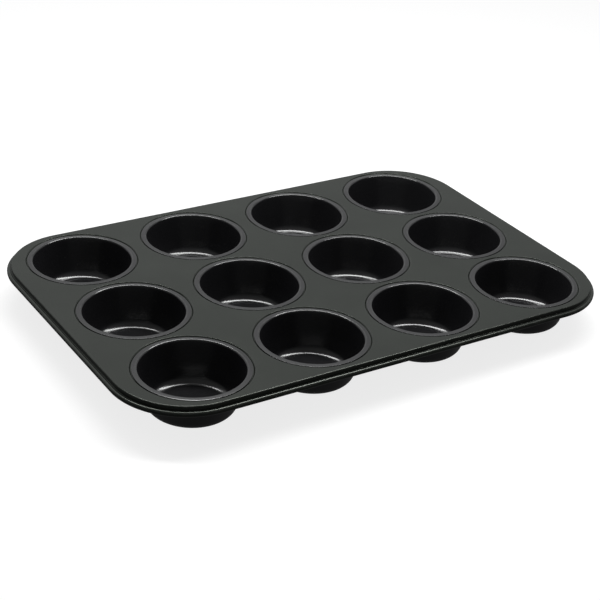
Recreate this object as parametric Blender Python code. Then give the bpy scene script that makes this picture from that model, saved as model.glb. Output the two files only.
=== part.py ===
"""Twelve-cup muffin tin: one stamped tray plate with a wired rim and twelve drawn cups.

Frame: metres, +Z up.  X runs along the long side (four cups), Y along the short
side (three cups).  The origin is the middle of the tin's outline at the height
of the cup feet, so the tin stands on Z = 0 on its twelve cup floors.

Pieces
  tray_plate        flat deck, a stamped ring seat and a turned-down collar round
                    every hole, a drop wall and an open curl along the rim
  rim_wire          closed loop of round wire lying inside the curl
  cup_r1c1 ... r3c4 one drawn cup per hole; its flange lies in the ring seat
"""
import math

import bmesh
import bpy
from mathutils import Vector
from mathutils.geometry import delaunay_2d_cdt

MM = 0.001

# ---------------------------------------------------------------- layout (mm)
COLUMNS = 4                 # cups along X
ROWS = 3                    # cups along Y, row 1 at -Y
PITCH_X = 90.0
PITCH_Y = 83.0
HALF_X = 187.2              # outer face of the drop wall from the centre
HALF_Y = 127.2
CORNER_R = 49.2             # plan radius of the drop wall's outer face
HEIGHT = 29.2               # deck top above the cup feet

# ---------------------------------------------------------------- tray plate
PLATE_T = 0.6               # sheet thickness of the tray plate
EDGE_BEND_R = 0.7           # bend at the deck edge, middle of the sheet
SEAT_SLOPE_OUT_R = 40.2     # where the deck starts to dip towards the ring seat
SEAT_SLOPE_IN_R = 39.3      # where the dip reaches the seat
COLLAR_DEPTH = 4.2          # lower end of the collar below the deck top

# ---------------------------------------------------------------- wired rim
CURL_R = 1.5                # radius of the curl, middle of the sheet
CURL_OUT = 1.1              # curl centre outboard of the wall's outer face
CURL_DROP = 4.9             # curl centre below the deck top
NECK_R = 0.6                # bend between the wall and the curl
CURL_SWEEP = 305.0          # degrees; the curl stops short of the wall and stays open
WIRE_R = 0.9

# ---------------------------------------------------------------- cups
CUP_T = 0.5                 # sheet thickness of a cup
WALL_TOP_R = 35.5           # outer wall radius extended up to the deck top
FLOOR_CORNER_R = 28.85      # outer wall radius extended down to the feet
FLANGE_R = 38.65            # outer radius of the flange
FLANGE_FALL = 9.0           # degrees that the flange and its seat fall outwards
FLANGE_EDGE = 0.25          # softened upper edge of the flange
LIP_R = 1.5                 # inner roll from the flange into the cup
FOOT_R = 7.0                # outer bend between wall and floor
FIT_GAP = 0.3               # play between a cup and the plate

# ---------------------------------------------------------------- resolution
RING_STEPS = 24
CORNER_STEPS = 8

PLATE_COLOUR = (0.060, 0.066, 0.060, 1.0)
CUP_COLOUR = (0.052, 0.056, 0.053, 1.0)
WIRE_COLOUR = (0.46, 0.46, 0.45, 1.0)

SLOPE = (WALL_TOP_R - FLOOR_CORNER_R) / HEIGHT      # radius lost per mm of depth
TILT = math.atan(SLOPE)                             # wall from the vertical


# ------------------------------------------------------------------ 2D helpers
def arc(cx, cy, radius, start, end, steps):
    """Points on a circular arc, angles in degrees, both ends included."""
    out = []
    for i in range(steps + 1):
        a = math.radians(start + (end - start) * i / steps)
        out.append((cx + radius * math.cos(a), cy + radius * math.sin(a)))
    return out


def offset_line(points, distance, lead):
    """Shift an open polyline sideways (to the left for a positive distance).
    lead is the direction of the flat sheet that runs up to the first point."""
    out = []
    last = len(points) - 1
    for i, (x, y) in enumerate(points):
        normals = [] if i else [(-lead[1], lead[0])]
        if i > 0:
            dx, dy = x - points[i - 1][0], y - points[i - 1][1]
            n = math.hypot(dx, dy)
            normals.append((-dy / n, dx / n))
        if i < last:
            dx, dy = points[i + 1][0] - x, points[i + 1][1] - y
            n = math.hypot(dx, dy)
            normals.append((-dy / n, dx / n))
        if len(normals) == 1:
            nx, ny = normals[0]
            out.append((x + nx * distance, y + ny * distance))
        else:
            (ax, ay), (bx, by) = normals
            k = distance / (1.0 + ax * bx + ay * by)
            out.append((x + (ax + bx) * k, y + (ay + by) * k))
    return out


def circle(cx, cy, radius):
    """Plan points of a ring, counter-clockwise."""
    return [(cx + radius * math.cos(2 * math.pi * i / RING_STEPS),
             cy + radius * math.sin(2 * math.pi * i / RING_STEPS))
            for i in range(RING_STEPS)]


def rounded_rectangle(grow):
    """Plan outline of the rim shifted outwards by grow (mm), counter-clockwise."""
    r = CORNER_R + grow
    out = []
    for cx, cy, start in ((1, 1, 0), (-1, 1, 90), (-1, -1, 180), (1, -1, 270)):
        out += arc(cx * (HALF_X - CORNER_R), cy * (HALF_Y - CORNER_R),
                   r, start, start + 90, CORNER_STEPS)
    return out


def cup_centre(row, column):
    return ((column - (COLUMNS + 1) / 2) * PITCH_X,
            (row - (ROWS + 1) / 2) * PITCH_Y)


# ------------------------------------------------------------------ 3D helpers
def ring(mesh, plan, z):
    """One loop of vertices at height z (mm below/above the deck top)."""
    return [mesh.verts.new(Vector((x, y, HEIGHT + z)) * MM) for x, y in plan]


def bridge(mesh, a, b):
    """Quads between two loops with the same number of vertices."""
    n = len(a)
    for i in range(n):
        j = (i + 1) % n
        mesh.faces.new((a[i], a[j], b[j], b[i]))


def fan(mesh, loop, z, cx, cy):
    tip = mesh.verts.new(Vector((cx, cy, HEIGHT + z)) * MM)
    for i in range(len(loop)):
        mesh.faces.new((loop[i], loop[(i + 1) % len(loop)], tip))


def sheet_with_holes(mesh, outer, holes):
    """Fill the plane region between an outline loop and the hole loops."""
    verts = list(outer)
    edges = [(i, (i + 1) % len(outer)) for i in range(len(outer))]
    owner = [None] * len(outer)
    for number, loop in enumerate(holes):
        base = len(verts)
        verts += loop
        owner += [number] * len(loop)
        edges += [(base + i, base + (i + 1) % len(loop)) for i in range(len(loop))]
    plan = [Vector((v.co.x / MM, v.co.y / MM)) for v in verts]
    _, _, faces, origin, _, _ = delaunay_2d_cdt(plan, edges, [], 1, 1e-5)
    for face in faces:
        ids = [origin[i][0] for i in face]
        owners = {owner[i] for i in ids}
        if len(owners) == 1 and owners != {None}:
            continue                       # this one would cover a hole
        mesh.faces.new([verts[i] for i in ids])


def finish(name, mesh, colour, roughness, sharp):
    bmesh.ops.recalc_face_normals(mesh, faces=mesh.faces[:])
    if mesh.calc_volume(signed=True) < 0:
        bmesh.ops.reverse_faces(mesh, faces=mesh.faces[:])
    data = bpy.data.meshes.new(name)
    mesh.to_mesh(data)
    mesh.free()
    data.shade_smooth()
    data.set_sharp_from_angle(angle=math.radians(sharp))
    material = bpy.data.materials.new(name + "_finish")
    material.use_nodes = True
    shader = material.node_tree.nodes["Principled BSDF"]
    shader.inputs["Base Color"].default_value = colour
    shader.inputs["Metallic"].default_value = 0.0 if colour is not WIRE_COLOUR else 1.0
    shader.inputs["Roughness"].default_value = roughness
    data.materials.append(material)
    thing = bpy.data.objects.new(name, data)
    bpy.context.scene.collection.objects.link(thing)
    return thing


# ------------------------------------------------------------------ profiles
LIP_CENTRE = (WALL_TOP_R - CUP_T / math.cos(TILT) - LIP_R * SLOPE
              + LIP_R / math.cos(TILT), -LIP_R)
LIP_TURN = 180.0 - math.degrees(TILT)               # where the roll meets the wall


def wall_radius(depth, inwards):
    """Outer wall radius at a depth below the deck top, moved inwards by a normal
    distance (mm)."""
    return WALL_TOP_R - SLOPE * depth - inwards / math.cos(TILT)


def foot_centre():
    """Centre (r, z) of the bend between the wall and the floor."""
    z = -HEIGHT + FOOT_R
    return wall_radius(-z, FOOT_R), z


def fallen(radius, r):
    """Height at radius r of the flange or seat skin that leaves the lip's roll at
    this bend radius."""
    fall = math.radians(FLANGE_FALL)
    start_r = LIP_CENTRE[0] + radius * math.sin(fall)
    start_z = LIP_CENTRE[1] + radius * math.cos(fall)
    return start_z - (r - start_r) * math.tan(fall)


def cup_inner_profile():
    """Upper surface of a cup from the flange edge down to the floor (r, z)."""
    fx, fz = foot_centre()
    edge = FLANGE_R - FLANGE_EDGE
    points = [(FLANGE_R, fallen(LIP_R, FLANGE_R) - FLANGE_EDGE), (edge, fallen(LIP_R, edge))]
    points += arc(*LIP_CENTRE, LIP_R, 90.0 - FLANGE_FALL, 90.0, 1)[:1]
    points += arc(*LIP_CENTRE, LIP_R, 90.0, LIP_TURN, 2)
    points += arc(fx, fz, FOOT_R - CUP_T, -math.degrees(TILT), -90.0, 3)
    return points


def cup_outer_profile():
    """Lower surface of a cup from the floor up to the flange edge (r, z)."""
    fx, fz = foot_centre()
    points = arc(fx, fz, FOOT_R, -90.0, -math.degrees(TILT), 3)
    points += arc(*LIP_CENTRE, LIP_R - CUP_T, LIP_TURN, 90.0 - FLANGE_FALL, 2)
    points += [(FLANGE_R, fallen(LIP_R - CUP_T, FLANGE_R))]
    return points


def seat_profile():
    """Closed section of the plate round a hole (r, z): from the deck inwards over
    the seat, down the collar, and back underneath."""
    half = PLATE_T / 2
    bend = LIP_R - CUP_T - FIT_GAP - half
    middle = [(SEAT_SLOPE_OUT_R, -half), (SEAT_SLOPE_IN_R, fallen(bend, SEAT_SLOPE_IN_R))]
    middle += arc(*LIP_CENTRE, bend, 90.0 - FLANGE_FALL, LIP_TURN, 2)
    middle += [(wall_radius(COLLAR_DEPTH, -FIT_GAP - half), -COLLAR_DEPTH)]
    upper = offset_line(middle, -half, (-1.0, 0.0))
    lower = offset_line(middle, half, (-1.0, 0.0))
    return upper, lower


def rim_profile():
    """Section of the rim as (outward shift from the wall face, z): deck edge,
    drop wall, neck and curl."""
    half = PLATE_T / 2
    middle = arc(-half - EDGE_BEND_R, -half - EDGE_BEND_R, EDGE_BEND_R, 90.0, 0.0, 2)
    neck_x = -half + NECK_R
    dx = neck_x - CURL_OUT
    neck_z = -CURL_DROP + math.sqrt((NECK_R + CURL_R) ** 2 - dx ** 2)
    turn = math.degrees(math.atan2(neck_z + CURL_DROP, dx))
    middle += arc(neck_x, neck_z, NECK_R, 180.0, 180.0 + turn, 1)
    middle += arc(CURL_OUT, -CURL_DROP, CURL_R, turn, turn - CURL_SWEEP, 8)[1:]
    outer = offset_line(middle, half, (1.0, 0.0))
    inner = offset_line(middle, -half, (1.0, 0.0))
    return outer, inner


# ------------------------------------------------------------------ pieces
def make_plate():
    mesh = bmesh.new()
    seat_top, seat_under = seat_profile()
    rim_out, rim_in = rim_profile()

    # rim: outer skin down and round the curl, sheet end, inner skin back up
    loops = [ring(mesh, rounded_rectangle(s), z) for s, z in rim_out]
    loops += [ring(mesh, rounded_rectangle(s), z) for s, z in reversed(rim_in)]
    for a, b in zip(loops, loops[1:]):
        bridge(mesh, a, b)
    top_outline, under_outline = loops[0], loops[-1]

    # holes: upper skin down to the collar's end, then back up underneath
    top_holes, under_holes = [], []
    for row in range(1, ROWS + 1):
        for column in range(1, COLUMNS + 1):
            cx, cy = cup_centre(row, column)
            rings = [ring(mesh, circle(cx, cy, r), z) for r, z in seat_top]
            rings += [ring(mesh, circle(cx, cy, r), z) for r, z in reversed(seat_under)]
            for a, b in zip(rings, rings[1:]):
                bridge(mesh, a, b)
            top_holes.append(rings[0])
            under_holes.append(rings[-1])

    sheet_with_holes(mesh, top_outline, top_holes)
    sheet_with_holes(mesh, under_outline, under_holes)
    return finish("tray_plate", mesh, PLATE_COLOUR, 0.42, 40)


def make_wire():
    mesh = bmesh.new()
    loops = [ring(mesh, rounded_rectangle(CURL_OUT + x), -CURL_DROP + z)
             for x, z in arc(0.0, 0.0, WIRE_R, 0.0, 300.0, 5)]
    for a, b in zip(loops, loops[1:] + loops[:1]):
        bridge(mesh, a, b)
    return finish("rim_wire", mesh, WIRE_COLOUR, 0.30, 75)


def make_cup(row, column):
    mesh = bmesh.new()
    cx, cy = cup_centre(row, column)
    inner = [ring(mesh, circle(cx, cy, r), z) for r, z in cup_inner_profile()]
    outer = [ring(mesh, circle(cx, cy, r), z) for r, z in cup_outer_profile()]
    for loops in (inner, outer):
        for a, b in zip(loops, loops[1:]):
            bridge(mesh, a, b)
    bridge(mesh, outer[-1], inner[0])
    fan(mesh, inner[-1], -HEIGHT + CUP_T, cx, cy)
    fan(mesh, outer[0], -HEIGHT, cx, cy)
    return finish("cup_r%dc%d" % (row, column), mesh, CUP_COLOUR, 0.45, 40)


def main():
    for old in list(bpy.data.objects):
        bpy.data.objects.remove(old, do_unlink=True)
    bpy.context.scene.unit_settings.system = "METRIC"
    make_plate()
    make_wire()
    for row in range(1, ROWS + 1):
        for column in range(1, COLUMNS + 1):
            make_cup(row, column)


main()
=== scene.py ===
"""Looks of the muffin tin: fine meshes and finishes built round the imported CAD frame."""
import math

import bmesh
import bpy
from mathutils import Matrix, Vector


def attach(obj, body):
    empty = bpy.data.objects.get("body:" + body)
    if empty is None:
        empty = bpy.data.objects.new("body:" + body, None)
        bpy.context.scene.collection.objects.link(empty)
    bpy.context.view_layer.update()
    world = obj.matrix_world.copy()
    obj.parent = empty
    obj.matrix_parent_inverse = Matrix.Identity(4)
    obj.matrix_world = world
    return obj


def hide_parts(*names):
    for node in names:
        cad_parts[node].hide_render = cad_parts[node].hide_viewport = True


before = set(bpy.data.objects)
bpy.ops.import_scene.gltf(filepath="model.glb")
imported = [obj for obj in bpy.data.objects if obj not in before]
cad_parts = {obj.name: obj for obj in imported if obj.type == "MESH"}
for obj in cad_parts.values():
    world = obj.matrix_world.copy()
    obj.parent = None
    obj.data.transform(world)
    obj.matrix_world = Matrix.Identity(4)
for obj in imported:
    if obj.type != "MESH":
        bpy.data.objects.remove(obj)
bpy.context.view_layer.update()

MM = 0.001

# ------------------------------------------------------------------ the tin, mm
COLUMNS, ROWS = 4, 3
PITCH_X, PITCH_Y = 90.0, 83.0
HALF_X, HALF_Y = 187.2, 127.2      # outer face of the drop wall
CORNER_R = 49.2
HEIGHT = 29.2

PLATE_T = 0.6
EDGE_BEND_R = 0.7
SEAT_SLOPE_OUT_R = 40.2            # where the deck starts to dip, middle of the sheet
SEAT_SLOPE_IN_R = 39.3             # where the dip reaches the seat
COLLAR_DEPTH = 4.2

CURL_R, CURL_OUT, CURL_DROP = 1.5, 1.1, 4.9
NECK_R = 0.6
CURL_SWEEP = 305.0
WIRE_R = 0.9

CUP_T = 0.5
WALL_TOP_R = 35.5
FLOOR_CORNER_R = 28.85
FLANGE_R = 38.65
FLANGE_FALL = 7.0                  # degrees that flange and seat fall outwards
LIP_R = 1.5
FOOT_R = 7.0
FIT_GAP = 0.3

SLOPE = (WALL_TOP_R - FLOOR_CORNER_R) / HEIGHT
TILT = math.atan(SLOPE)
TILT_DEG = math.degrees(TILT)
LIP_CENTRE = (WALL_TOP_R - CUP_T / math.cos(TILT) - LIP_R * SLOPE
              + LIP_R / math.cos(TILT), -LIP_R)
LIP_TURN = 180.0 - TILT_DEG

RING = 96                           # sides of every turned shape
DECK_MARGIN = 1.6                   # flat deck ends this far inside the wall face
HOLE_MARGIN = 40.8                  # flat deck starts at this radius


def wall_radius(depth, inwards):
    return WALL_TOP_R - SLOPE * depth - inwards / math.cos(TILT)


def cup_centre(row, column):
    return ((column - (COLUMNS + 1) / 2) * PITCH_X, (row - (ROWS + 1) / 2) * PITCH_Y)


# ------------------------------------------------------------------ mesh helper
class Skin:
    """Collects vertices (mm, z measured from the deck top) with a wear value."""

    def __init__(self):
        self.mesh = bmesh.new()
        self.wear = self.mesh.verts.layers.float.new("wear")
        self.known = {}

    def point(self, x, y, z, wear=0.0, weld=False):
        key = (round(x, 3), round(y, 3), round(z, 3))
        if weld and key in self.known:
            return self.known[key]
        v = self.mesh.verts.new((x * MM, y * MM, (HEIGHT + z) * MM))
        v[self.wear] = wear
        if weld:
            self.known[key] = v
        return v

    def bridge(self, a, b, closed=True):
        n = len(a)
        for i in range(n if closed else n - 1):
            j = (i + 1) % n
            quad = [a[i], a[j], b[j], b[i]]
            if len(set(quad)) == 4:
                self.mesh.faces.new(quad)
            else:
                tri = []
                for v in quad:
                    if v not in tri:
                        tri.append(v)
                if len(tri) == 3:
                    self.mesh.faces.new(tri)

    def cap(self, loop, z, cx, cy, wear=0.0):
        tip = self.point(cx, cy, z, wear)
        for i in range(len(loop)):
            self.mesh.faces.new((loop[i], loop[(i + 1) % len(loop)], tip))

    def done(self, name, material, sharp=180.0):
        mesh = self.mesh
        bmesh.ops.recalc_face_normals(mesh, faces=mesh.faces[:])
        if mesh.calc_volume(signed=True) < 0:
            bmesh.ops.reverse_faces(mesh, faces=mesh.faces[:])
        data = bpy.data.meshes.new(name)
        mesh.to_mesh(data)
        mesh.free()
        data.shade_smooth()
        if sharp < 180.0:
            data.set_sharp_from_angle(angle=math.radians(sharp))
        data.materials.append(material)
        obj = bpy.data.objects.new(name, data)
        bpy.context.scene.collection.objects.link(obj)
        return obj


# ------------------------------------------------------------------ paths
def arc_path(cx, cy, radius, start, end, steps, normal_out=True):
    """Points with unit normals along an arc; the normal points away from the
    centre, or towards it."""
    out = []
    for i in range(steps + 1):
        a = math.radians(start + (end - start) * i / steps)
        c, s = math.cos(a), math.sin(a)
        k = 1.0 if normal_out else -1.0
        out.append((cx + radius * c, cy + radius * s, c * k, s * k))
    return out


def join(*runs):
    """Chains runs of (x, y, nx, ny), leaving out repeated points."""
    out = []
    for run in runs:
        for p in run:
            if out and math.hypot(p[0] - out[-1][0], p[1] - out[-1][1]) < 1e-4:
                continue
            out.append(p)
    return out


def shifted(path, distance):
    return [(x + nx * distance, y + ny * distance) for x, y, nx, ny in path]


def line_path(a, b, steps):
    """Points between two ends of a straight run, both with a's normal."""
    out = []
    for i in range(steps + 1):
        t = i / steps
        out.append((a[0] + (b[0] - a[0]) * t, a[1] + (b[1] - a[1]) * t, a[2], a[3]))
    return out


def fallen(radius, r):
    """Height at radius r of the flange or seat skin that leaves the lip's roll at
    this bend radius."""
    fall = math.radians(FLANGE_FALL)
    start_r = LIP_CENTRE[0] + radius * math.sin(fall)
    start_z = LIP_CENTRE[1] + radius * math.cos(fall)
    return start_z - (r - start_r) * math.tan(fall)


def rounded_corner(a, b, c, radius, steps):
    """Points of the arc that rounds corner b of the line a-b-c."""
    u = Vector((a[0] - b[0], a[1] - b[1])).normalized()
    v = Vector((c[0] - b[0], c[1] - b[1])).normalized()
    half_angle = u.angle(v) / 2
    start = Vector(b) + u * (radius / math.tan(half_angle))
    end = Vector(b) + v * (radius / math.tan(half_angle))
    centre = Vector(b) + (u + v).normalized() * (radius / math.sin(half_angle))
    a0 = math.atan2(start.y - centre.y, start.x - centre.x)
    a1 = math.atan2(end.y - centre.y, end.x - centre.x)
    turn = (a1 - a0 + math.pi) % (2 * math.pi) - math.pi
    return [(centre.x + radius * math.cos(a0 + turn * i / steps),
             centre.y + radius * math.sin(a0 + turn * i / steps)) for i in range(steps + 1)]


def crossing(p, d, q, e):
    """Where the line through p along d meets the line through q along e."""
    det = d[0] * -e[1] + e[0] * d[1]
    t = ((q[0] - p[0]) * -e[1] + e[0] * (q[1] - p[1])) / det
    return (p[0] + d[0] * t, p[1] + d[1] * t)


def seat_skin(side, deck_bend, seat_bend):
    """One skin of the plate from the flat deck inwards over the seat and down the
    collar, as (r, z); side is +1 for the upper skin and -1 for the lower."""
    half = PLATE_T / 2
    bend = LIP_R - CUP_T - FIT_GAP - half
    fall = math.radians(FLANGE_FALL)
    b = (SEAT_SLOPE_OUT_R, -half)
    c = (SEAT_SLOPE_IN_R, fallen(bend, SEAT_SLOPE_IN_R))
    d = Vector((c[0] - b[0], c[1] - b[1])).normalized()
    n = (d.y * side * half, -d.x * side * half)
    lip = arc_path(*LIP_CENTRE, bend, 90 - FLANGE_FALL, LIP_TURN, 5)
    last = lip[-1]
    lip.append((wall_radius(COLLAR_DEPTH, -FIT_GAP - half), -COLLAR_DEPTH, last[2], last[3]))
    lip = shifted(lip, half * side)
    level = -half + side * half
    p0 = (HOLE_MARGIN, level)
    p1 = crossing(p0, (1.0, 0.0), (b[0] + n[0], b[1] + n[1]), (d.x, d.y))
    p2 = crossing((b[0] + n[0], b[1] + n[1]), (d.x, d.y), lip[0],
                  (math.cos(fall), -math.sin(fall)))
    return ([p0] + rounded_corner(p0, p1, p2, deck_bend, 5)
            + rounded_corner(p1, p2, lip[0], seat_bend, 4) + lip)


def rim_path():
    """Middle of the plate from the flat deck over the edge, down the wall and
    round the curl: (outward shift, z) with the normal towards the outer skin."""
    half = PLATE_T / 2
    lead = [(-DECK_MARGIN, -half, 0.0, 1.0)]
    edge = arc_path(-half - EDGE_BEND_R, -half - EDGE_BEND_R, EDGE_BEND_R, 90, 0, 8)
    neck_x = -half + NECK_R
    dx = neck_x - CURL_OUT
    neck_z = -CURL_DROP + math.sqrt((NECK_R + CURL_R) ** 2 - dx ** 2)
    turn = math.degrees(math.atan2(neck_z + CURL_DROP, dx))
    neck = arc_path(neck_x, neck_z, NECK_R, 180, 180 + turn, 8, normal_out=False)
    curl = arc_path(CURL_OUT, -CURL_DROP, CURL_R, turn, turn - CURL_SWEEP, 34)
    return join(lead, edge, neck, curl)


def around(path_top, path_under, steps=3):
    """A rounded sheet end between the last points of two skins."""
    (x1, y1), (x2, y2) = path_top[-1], path_under[-1]
    mx, my = (x1 + x2) / 2, (y1 + y2) / 2
    dx, dy = x1 - mx, y1 - my
    tx, ty = path_top[-1][0] - path_top[-2][0], path_top[-1][1] - path_top[-2][1]
    n = math.hypot(tx, ty)
    tx, ty = tx / n * math.hypot(dx, dy) * 0.6, ty / n * math.hypot(dx, dy) * 0.6
    out = []
    for i in range(1, steps + 1):
        a = math.pi * i / (steps + 1)
        out.append((mx + dx * math.cos(a) + tx * math.sin(a),
                    my + dy * math.cos(a) + ty * math.sin(a)))
    return out


# ------------------------------------------------------------------ materials
def coating(name, base, light, rough, grain, seed, specular, tint):
    """Dark non-stick coating on steel: mottled colour, a fine sprayed grain,
    polished wear where things rub."""
    m = bpy.data.materials.new(name)
    m.use_nodes = True
    nt = m.node_tree
    N, L = nt.nodes, nt.links
    shader = N["Principled BSDF"]
    shader.inputs["Metallic"].default_value = 0.0
    shader.inputs["IOR"].default_value = 1.5
    shader.inputs["Specular IOR Level"].default_value = specular
    shader.inputs["Specular Tint"].default_value = (*tint, 1.0)
    coord = N.new("ShaderNodeTexCoord")
    shift = N.new("ShaderNodeMapping")
    shift.inputs["Location"].default_value = (seed * 0.37, seed * 0.21, seed * 0.13)
    L.new(coord.outputs["Object"], shift.inputs["Vector"])

    def noise(scale, detail, rough_=0.55):
        n = N.new("ShaderNodeTexNoise")
        n.inputs["Scale"].default_value = scale
        n.inputs["Detail"].default_value = detail
        n.inputs["Roughness"].default_value = rough_
        L.new(shift.outputs["Vector"], n.inputs["Vector"])
        return n.outputs["Fac"]

    def ramp(value, a, b, lo=0.0, hi=1.0):
        r = N.new("ShaderNodeMapRange")
        r.inputs["From Min"].default_value = a
        r.inputs["From Max"].default_value = b
        r.inputs["To Min"].default_value = lo
        r.inputs["To Max"].default_value = hi
        L.new(value, r.inputs["Value"])
        return r.outputs["Result"]

    def maths(op, a, b):
        k = N.new("ShaderNodeMath")
        k.operation = op
        for slot, v in zip(k.inputs, (a, b)):
            if isinstance(v, (int, float)):
                slot.default_value = v
            else:
                L.new(v, slot)
        return k.outputs["Value"]

    def mix(fac, a, b):
        k = N.new("ShaderNodeMix")
        k.data_type = "RGBA"
        L.new(fac, k.inputs["Factor"])
        for slot, v in ((k.inputs["A"], a), (k.inputs["B"], b)):
            if isinstance(v, tuple):
                slot.default_value = (*v, 1.0)
            else:
                L.new(v, slot)
        return k.outputs["Result"]

    cloud = noise(22.0, 3.0)
    speck = noise(1400.0, 2.0, 0.7)
    peel = noise(420.0, 2.0)
    wear = N.new("ShaderNodeAttribute")
    wear.attribute_name = "wear"
    worn = maths("MULTIPLY", wear.outputs["Fac"], ramp(noise(160.0, 4.0, 0.7), 0.38, 0.62))
    tone = maths("ADD", maths("MULTIPLY", cloud, 0.5), maths("MULTIPLY", speck, 0.5))
    colour = mix(ramp(tone, 0.32, 0.68), base, light)
    colour = mix(maths("MULTIPLY", worn, 0.55), colour, (0.085, 0.088, 0.085))
    L.new(colour, shader.inputs["Base Color"])
    r = maths("ADD", ramp(cloud, 0.3, 0.7, rough - 0.025, rough + 0.025),
              ramp(speck, 0.3, 0.7, -0.03, 0.03))
    r = maths("SUBTRACT", r, maths("MULTIPLY", worn, 0.06))
    L.new(r, shader.inputs["Roughness"])

    b1 = N.new("ShaderNodeBump")
    b1.inputs["Strength"].default_value = 1.0
    b1.inputs["Distance"].default_value = grain
    L.new(speck, b1.inputs["Height"])
    b2 = N.new("ShaderNodeBump")
    b2.inputs["Strength"].default_value = 1.0
    b2.inputs["Distance"].default_value = grain * 0.5
    L.new(peel, b2.inputs["Height"])
    L.new(b1.outputs["Normal"], b2.inputs["Normal"])
    L.new(b2.outputs["Normal"], shader.inputs["Normal"])
    return m


def bare_steel(name):
    m = bpy.data.materials.new(name)
    m.use_nodes = True
    nt = m.node_tree
    N, L = nt.nodes, nt.links
    shader = N["Principled BSDF"]
    shader.inputs["Metallic"].default_value = 1.0
    coord = N.new("ShaderNodeTexCoord")
    n = N.new("ShaderNodeTexNoise")
    n.inputs["Scale"].default_value = 700.0
    n.inputs["Detail"].default_value = 3.0
    L.new(coord.outputs["Object"], n.inputs["Vector"])
    c = N.new("ShaderNodeMix")
    c.data_type = "RGBA"
    c.inputs["A"].default_value = (0.36, 0.36, 0.35, 1)
    c.inputs["B"].default_value = (0.52, 0.52, 0.51, 1)
    L.new(n.outputs["Fac"], c.inputs["Factor"])
    L.new(c.outputs["Result"], shader.inputs["Base Color"])
    r = N.new("ShaderNodeMapRange")
    r.inputs["To Min"].default_value = 0.24
    r.inputs["To Max"].default_value = 0.40
    L.new(n.outputs["Fac"], r.inputs["Value"])
    L.new(r.outputs["Result"], shader.inputs["Roughness"])
    b = N.new("ShaderNodeBump")
    b.inputs["Strength"].default_value = 1.0
    b.inputs["Distance"].default_value = 0.00002
    L.new(n.outputs["Fac"], b.inputs["Height"])
    L.new(b.outputs["Normal"], shader.inputs["Normal"])
    return m


# ------------------------------------------------------------------ outline
def outline_normal(x, y):
    """Outward normal of the rounded outline at a point near it."""
    qx, qy = abs(x) - (HALF_X - CORNER_R), abs(y) - (HALF_Y - CORNER_R)
    sx, sy = (1 if x >= 0 else -1), (1 if y >= 0 else -1)
    if qx > 0 and qy > 0:
        n = math.hypot(qx, qy)
        return sx * qx / n, sy * qy / n
    if qx - CORNER_R > qy - CORNER_R:
        return sx * 1.0, 0.0
    return 0.0, sy * 1.0


def cell_boundary(row, column):
    """Where RING rays from a cup's centre leave its cell of the deck.  Inner cells
    end half way to the next cup, outer cells at the flat deck's own edge."""
    cx, cy = cup_centre(row, column)
    ex, ey = HALF_X - DECK_MARGIN, HALF_Y - DECK_MARGIN
    x0 = -PITCH_X / 2 if column > 1 else -ex - cx
    x1 = PITCH_X / 2 if column < COLUMNS else ex - cx
    y0 = -PITCH_Y / 2 if row > 1 else -ey - cy
    y1 = PITCH_Y / 2 if row < ROWS else ey - cy
    pts = []
    for i in range(RING):
        a = 2 * math.pi * i / RING
        c, s = math.cos(a), math.sin(a)
        t = 1e9
        if c > 1e-9:
            t = min(t, x1 / c)
        if c < -1e-9:
            t = min(t, x0 / c)
        if s > 1e-9:
            t = min(t, y1 / s)
        if s < -1e-9:
            t = min(t, y0 / s)
        pts.append([t * c, t * s])
    for kx, ky in ((x0, y0), (x1, y0), (x1, y1), (x0, y1)):
        corner_cell = ((abs(kx + cx) > ex - 1e-6) and (abs(ky + cy) > ey - 1e-6))
        if corner_cell:
            continue
        a = math.atan2(ky, kx) % (2 * math.pi)
        pts[round(a / (2 * math.pi) * RING) % RING] = [kx, ky]
    r = CORNER_R - DECK_MARGIN
    for p in pts:
        x, y = p[0] + cx, p[1] + cy
        qx, qy = abs(x) - (HALF_X - CORNER_R), abs(y) - (HALF_Y - CORNER_R)
        if qx > 0 and qy > 0 and math.hypot(qx, qy) > r:
            ox = math.copysign(HALF_X - CORNER_R, x) - cx
            oy = math.copysign(HALF_Y - CORNER_R, y) - cy
            n = math.hypot(p[0], p[1])
            c, s = p[0] / n, p[1] / n
            b = ox * c + oy * s
            t = b + math.sqrt(b * b - (ox * ox + oy * oy - r * r))
            p[0], p[1] = t * c, t * s
    return pts


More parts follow.
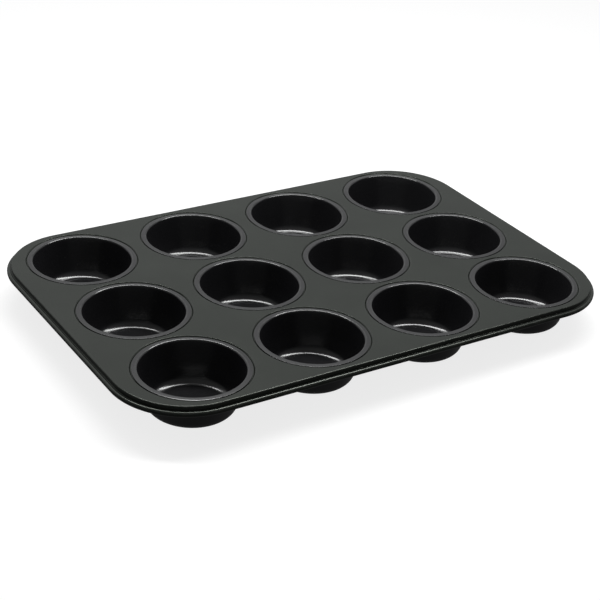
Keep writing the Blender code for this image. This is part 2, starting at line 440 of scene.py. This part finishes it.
def build_plate(material):
    skin = Skin()
    half = PLATE_T / 2
    top, under = seat_skin(1, 0.30, 0.20), seat_skin(-1, 0.15, 0.30)
    end = around(top, under)
    edge_loop = {}
    for row in range(1, ROWS + 1):
        for column in range(1, COLUMNS + 1):
            cx, cy = cup_centre(row, column)
            boundary = cell_boundary(row, column)
            rays = [(math.cos(2 * math.pi * i / RING), math.sin(2 * math.pi * i / RING))
                    for i in range(RING)]
            # seat, collar, sheet end and underside of this hole
            section = top + end + list(reversed(under))
            rings = []
            for k, (r, z) in enumerate(section):
                wear = 0.0
                if k < len(top):
                    wear = 0.5 * max(0.0, 1.0 - abs(r - SEAT_SLOPE_OUT_R + 0.15) / 0.5)
                rings.append([skin.point(cx + r * c, cy + r * s, z, wear) for c, s in rays])
            for a, b in zip(rings, rings[1:]):
                skin.bridge(a, b)
            # flat deck between the hole and the cell's edge, both skins
            for loop, z in ((rings[0], 0.0), (rings[-1], -PLATE_T)):
                last = loop
                for t in (0.25, 0.6, 1.0):
                    ringed = []
                    for i, (c, s) in enumerate(rays):
                        x = HOLE_MARGIN * c + (boundary[i][0] - HOLE_MARGIN * c) * t
                        y = HOLE_MARGIN * s + (boundary[i][1] - HOLE_MARGIN * s) * t
                        ringed.append(skin.point(cx + x, cy + y, z, 0.0, weld=(t == 1.0)))
                    skin.bridge(last, ringed)
                    last = ringed
            # remember the vertices on the deck's own edge
            for bx, by in boundary:
                x, y = cx + bx, cy + by
                qx, qy = abs(x) - (HALF_X - CORNER_R), abs(y) - (HALF_Y - CORNER_R)
                r = CORNER_R - DECK_MARGIN
                d = math.hypot(qx, qy) - r if qx > 0 and qy > 0 else max(qx, qy) - r
                if abs(d) < 1e-6:
                    edge_loop[(round(x, 3), round(y, 3))] = (x, y)
    path = sorted(edge_loop.values(), key=lambda p: math.atan2(p[1], p[0]))
    rim = rim_path()
    outer, inner = shifted(rim, half), shifted(rim, -half)
    section = outer + around(outer, inner) + list(reversed(inner))
    rings = []
    for k, (s, z) in enumerate(section):
        loop = []
        crest = 0.0
        if k < len(outer):
            crest = max(0.0, 1.0 - abs(s + 0.3) / 0.35) * (1.0 if z > -1.2 else 0.0)
            if z < -2.0 and s > 0.4:
                crest = max(crest, max(0.0, 1.0 - abs(z + 3.9) / 1.2) * 0.5)
        for x, y in path:
            nx, ny = outline_normal(x, y)
            g = s + DECK_MARGIN
            weld = k in (0, len(section) - 1)
            if weld:
                loop.append(skin.point(x, y, z, 0.0, weld=True))
            else:
                loop.append(skin.point(x + nx * g, y + ny * g, z, crest))
        rings.append(loop)
    for a, b in zip(rings, rings[1:]):
        skin.bridge(a, b)
    return skin.done("tray_plate_coated", material), path


def build_wire(path, material):
    skin = Skin()
    rings = []
    for i in range(16):
        a = 2 * math.pi * i / 16
        g = CURL_OUT + WIRE_R * math.cos(a) + DECK_MARGIN
        z = -CURL_DROP + WIRE_R * math.sin(a)
        rings.append([skin.point(x + outline_normal(x, y)[0] * g,
                                 y + outline_normal(x, y)[1] * g, z) for x, y in path])
    for a, b in zip(rings, rings[1:] + rings[:1]):
        skin.bridge(a, b)
    return skin.done("rim_wire_bare", material)


def build_cup(row, column, material):
    skin = Skin()
    cx, cy = cup_centre(row, column)
    e = CUP_T / 2
    # cut sheet edge with small softened corners
    soft = 0.07
    under_z = fallen(LIP_R - CUP_T + soft, FLANGE_R - soft)
    over_z = fallen(LIP_R - soft, FLANGE_R - soft)
    flange = join(arc_path(FLANGE_R - soft, under_z, soft, -90 - FLANGE_FALL, 0, 3),
                  arc_path(FLANGE_R - soft, over_z, soft, 0, 90 - FLANGE_FALL, 3))
    lip = arc_path(*LIP_CENTRE, LIP_R, 90 - FLANGE_FALL, LIP_TURN, 16)
    flat = line_path(flange[-1], lip[0], 3)[1:-1]
    fz = -HEIGHT + FOOT_R
    fx = wall_radius(-fz, FOOT_R)
    foot = arc_path(fx, fz, FOOT_R - CUP_T, -TILT_DEG, -90, 16)
    wall = line_path(lip[-1], foot[0], 8)
    floor = [(r, -HEIGHT + CUP_T, 0.0, 1.0) for r in (fx * 0.85, fx * 0.6, fx * 0.35, fx * 0.12)]
    upper = join(flange, flat, lip, wall, foot, floor)
    foot_under = arc_path(fx, fz, FOOT_R, -90, -TILT_DEG, 16)
    lip_under = arc_path(*LIP_CENTRE, LIP_R - CUP_T, LIP_TURN, 90 - FLANGE_FALL, 9)
    wall_under = line_path(foot_under[-1], lip_under[0], 8)
    floor_under = [(r, -HEIGHT, 0.0, -1.0) for r in (fx * 0.12, fx * 0.35, fx * 0.6, fx * 0.85)]
    lower = join(floor_under, foot_under, wall_under, lip_under)

    def ring(r, z, wear):
        return [skin.point(cx + r * math.cos(2 * math.pi * i / RING),
                           cy + r * math.sin(2 * math.pi * i / RING), z, wear)
                for i in range(RING)]

    ups, downs = [], []
    for r, z, _, _ in upper:
        wear = 0.0
        if z > -1.2 and r > 34.0:
            wear = 0.9 * max(0.0, 1.0 - abs(r - LIP_CENTRE[0] + 0.4) / 0.7)
            wear = max(wear, 0.5 * max(0.0, 1.0 - abs(r - FLANGE_R + 0.1) / 0.3))
        ups.append(ring(r, z, wear))
    for r, z, _, _ in lower:
        wear = 0.8 * max(0.0, 1.0 - abs(r - fx - 0.6) / 1.5) if z < -HEIGHT + 1 else 0.0
        downs.append(ring(r, z, wear))
    for loops in (ups, downs):
        for a, b in zip(loops, loops[1:]):
            skin.bridge(a, b)
    skin.bridge(downs[-1], ups[0])
    skin.cap(ups[-1], -HEIGHT + CUP_T, cx, cy)
    skin.cap(downs[0], -HEIGHT, cx, cy)
    return skin.done("cup_r%dc%d_coated" % (row, column), material)


# ------------------------------------------------------------------ the pieces
deck_finish = coating("deck_coating_finish", (0.009, 0.011, 0.009), (0.016, 0.019, 0.016),
                      0.200, 0.0000010, 1, 0.5, (0.95, 1.03, 0.91))
cup_finish = coating("cup_coating_finish", (0.010, 0.010, 0.011), (0.016, 0.016, 0.0175),
                     0.180, 0.0000008, 2, 0.80, (0.99, 1.0, 0.99))
wire_finish = bare_steel("bare_wire_finish")

plate, rim_points = build_plate(deck_finish)
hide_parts("tray_plate")
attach(plate, "root")

wire = build_wire(rim_points, wire_finish)
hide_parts("rim_wire")
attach(wire, "root")

for row in range(1, ROWS + 1):
    for column in range(1, COLUMNS + 1):
        cup = build_cup(row, column, cup_finish)
        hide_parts("cup_r%dc%d" % (row, column))
        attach(cup, "root")

# ------------------------------------------------------------------ the floor
floor_mesh = bpy.data.meshes.new("studio_floor")
bm = bmesh.new()
bmesh.ops.create_grid(bm, x_segments=8, y_segments=8, size=4.0)
bmesh.ops.translate(bm, verts=bm.verts, vec=(0, 0, -0.0004))
bm.to_mesh(floor_mesh)
bm.free()
floor = bpy.data.objects.new("studio_floor", floor_mesh)
bpy.context.scene.collection.objects.link(floor)
paper = bpy.data.materials.new("studio_paper")
paper.use_nodes = True
pn, pl = paper.node_tree.nodes, paper.node_tree.links
ps = pn["Principled BSDF"]
ps.inputs["Roughness"].default_value = 0.9
ps.inputs["Specular IOR Level"].default_value = 0.1
ps.inputs["Emission Color"].default_value = (1.0, 1.0, 1.0, 1.0)
ps.inputs["Emission Strength"].default_value = 0.80
pc = pn.new("ShaderNodeTexCoord")
pnoise = pn.new("ShaderNodeTexNoise")
pnoise.inputs["Scale"].default_value = 2.0
pl.new(pc.outputs["Object"], pnoise.inputs["Vector"])
pm = pn.new("ShaderNodeMix")
pm.data_type = "RGBA"
pm.inputs["A"].default_value = (0.30, 0.30, 0.30, 1)
pm.inputs["B"].default_value = (0.32, 0.32, 0.32, 1)
pl.new(pnoise.outputs["Fac"], pm.inputs["Factor"])
pl.new(pm.outputs["Result"], ps.inputs["Base Color"])
floor_mesh.materials.append(paper)
floor.visible_glossy = False
floor.visible_diffuse = False

# ------------------------------------------------------------------ the camera
AZ, EL, ROLL = -0.5866246, 0.4972396, 0.0673431
FOCAL = 1500.687                    # in image widths of 600
EYE = Vector((-530.407, -795.538, 494.404 + HEIGHT)) * MM
back = Vector((math.sin(AZ) * math.cos(EL), -math.cos(AZ) * math.cos(EL), math.sin(EL)))
right = Vector((0, 0, 1)).cross(back).normalized()
up = back.cross(right)
r2 = math.cos(ROLL) * right + math.sin(ROLL) * up
u2 = -math.sin(ROLL) * right + math.cos(ROLL) * up
cam_data = bpy.data.cameras.new("camera")
cam_data.sensor_width = 36.0
cam_data.lens = FOCAL / 600.0 * 36.0
cam_data.clip_start = 0.02
cam_data.clip_end = 30.0
camera = bpy.data.objects.new("camera", cam_data)
camera.matrix_world = Matrix(((r2.x, u2.x, back.x, EYE.x), (r2.y, u2.y, back.y, EYE.y),
                              (r2.z, u2.z, back.z, EYE.z), (0, 0, 0, 1)))
bpy.context.scene.collection.objects.link(camera)
bpy.context.scene.camera = camera

# ------------------------------------------------------------------ the light
AWAY = Vector((0.5536, 0.8328, 0.0))       # plan direction from the camera to the tin
SIDE = Vector((0.8328, -0.5536, 0.0))      # to the camera's right


def softbox(name, place, target, width, depth, radiance, colour=(1, 1, 1)):
    data = bpy.data.lights.new(name, "AREA")
    data.shape = "ELLIPSE"
    data.size, data.size_y = width, depth
    data.color = colour
    data.energy = radiance * width * depth * math.pi * math.pi / 4
    obj = bpy.data.objects.new(name, data)
    obj.location = place
    direction = Vector(target) - Vector(place)
    z = -direction.normalized()
    x = SIDE - SIDE.dot(z) * z
    x.normalize()
    y = z.cross(x)
    obj.matrix_world = Matrix(((x.x, y.x, z.x, place[0]), (x.y, y.y, z.y, place[1]),
                               (x.z, y.z, z.z, place[2]), (0, 0, 0, 1)))
    bpy.context.scene.collection.objects.link(obj)
    return obj


LAMP_H = 0.62
near, far = 0.092, 0.225
middle = AWAY * ((near + far) / 2) + SIDE * 0.06
softbox("overhead_box", middle + Vector((0, 0, LAMP_H)), middle, 0.95, far - near, 14.0)

world = bpy.data.worlds.new("studio")
bpy.context.scene.world = world
world.use_nodes = True
wn, wl = world.node_tree.nodes, world.node_tree.links
background = wn["Background"]
wc = wn.new("ShaderNodeTexCoord")
wsep = wn.new("ShaderNodeSeparateXYZ")
wl.new(wc.outputs["Generated"], wsep.inputs["Vector"])
wdot = wn.new("ShaderNodeVectorMath")
wdot.operation = "DOT_PRODUCT"
wdot.inputs[1].default_value = AWAY
wl.new(wc.outputs["Generated"], wdot.inputs[0])
wside = wn.new("ShaderNodeMapRange")
wside.interpolation_type = "SMOOTHSTEP"
wside.inputs["From Min"].default_value = 0.05
wside.inputs["From Max"].default_value = 0.45
wside.inputs["To Min"].default_value = 0.08
wside.inputs["To Max"].default_value = 0.455
wl.new(wdot.outputs["Value"], wside.inputs["Value"])
wup = wn.new("ShaderNodeMapRange")
wup.interpolation_type = "SMOOTHSTEP"
wup.inputs["From Min"].default_value = -0.03
wup.inputs["From Max"].default_value = 0.06
wup.inputs["To Min"].default_value = 0.0
wup.inputs["To Max"].default_value = 1.0
wl.new(wsep.outputs["Z"], wup.inputs["Value"])
wmix = wn.new("ShaderNodeMix")
wmix.data_type = "FLOAT"
wmix.inputs["A"].default_value = 0.07
wl.new(wup.outputs["Result"], wmix.inputs["Factor"])
wlift = wn.new("ShaderNodeMapRange")
wlift.inputs["From Min"].default_value = 0.46
wlift.inputs["From Max"].default_value = 0.72
wlift.inputs["To Min"].default_value = 0.93
wlift.inputs["To Max"].default_value = 1.85
wl.new(wsep.outputs["Z"], wlift.inputs["Value"])
wacross = wn.new("ShaderNodeVectorMath")
wacross.operation = "DOT_PRODUCT"
wacross.inputs[1].default_value = SIDE
wl.new(wc.outputs["Generated"], wacross.inputs[0])
wleft = wn.new("ShaderNodeMapRange")
wleft.inputs["From Min"].default_value = -0.18
wleft.inputs["From Max"].default_value = 0.18
wleft.inputs["To Min"].default_value = 1.16
wleft.inputs["To Max"].default_value = 0.94
wl.new(wacross.outputs["Value"], wleft.inputs["Value"])
wboth = wn.new("ShaderNodeMath")
wboth.operation = "MULTIPLY"
wl.new(wlift.outputs["Result"], wboth.inputs[0])
wl.new(wleft.outputs["Result"], wboth.inputs[1])
wupper = wn.new("ShaderNodeMath")
wupper.operation = "MULTIPLY"
wl.new(wside.outputs["Result"], wupper.inputs[0])
wl.new(wboth.outputs["Value"], wupper.inputs[1])
wl.new(wupper.outputs["Value"], wmix.inputs["B"])
background.inputs["Color"].default_value = (0.985, 0.99, 1.0, 1.0)
wl.new(wmix.outputs["Result"], background.inputs["Strength"])

bpy.context.scene.view_settings.view_transform = "Standard"
bpy.context.scene.view_settings.look = "None"
bpy.context.scene.view_settings.exposure = 0.0
bpy.context.scene.view_settings.gamma = 1.0
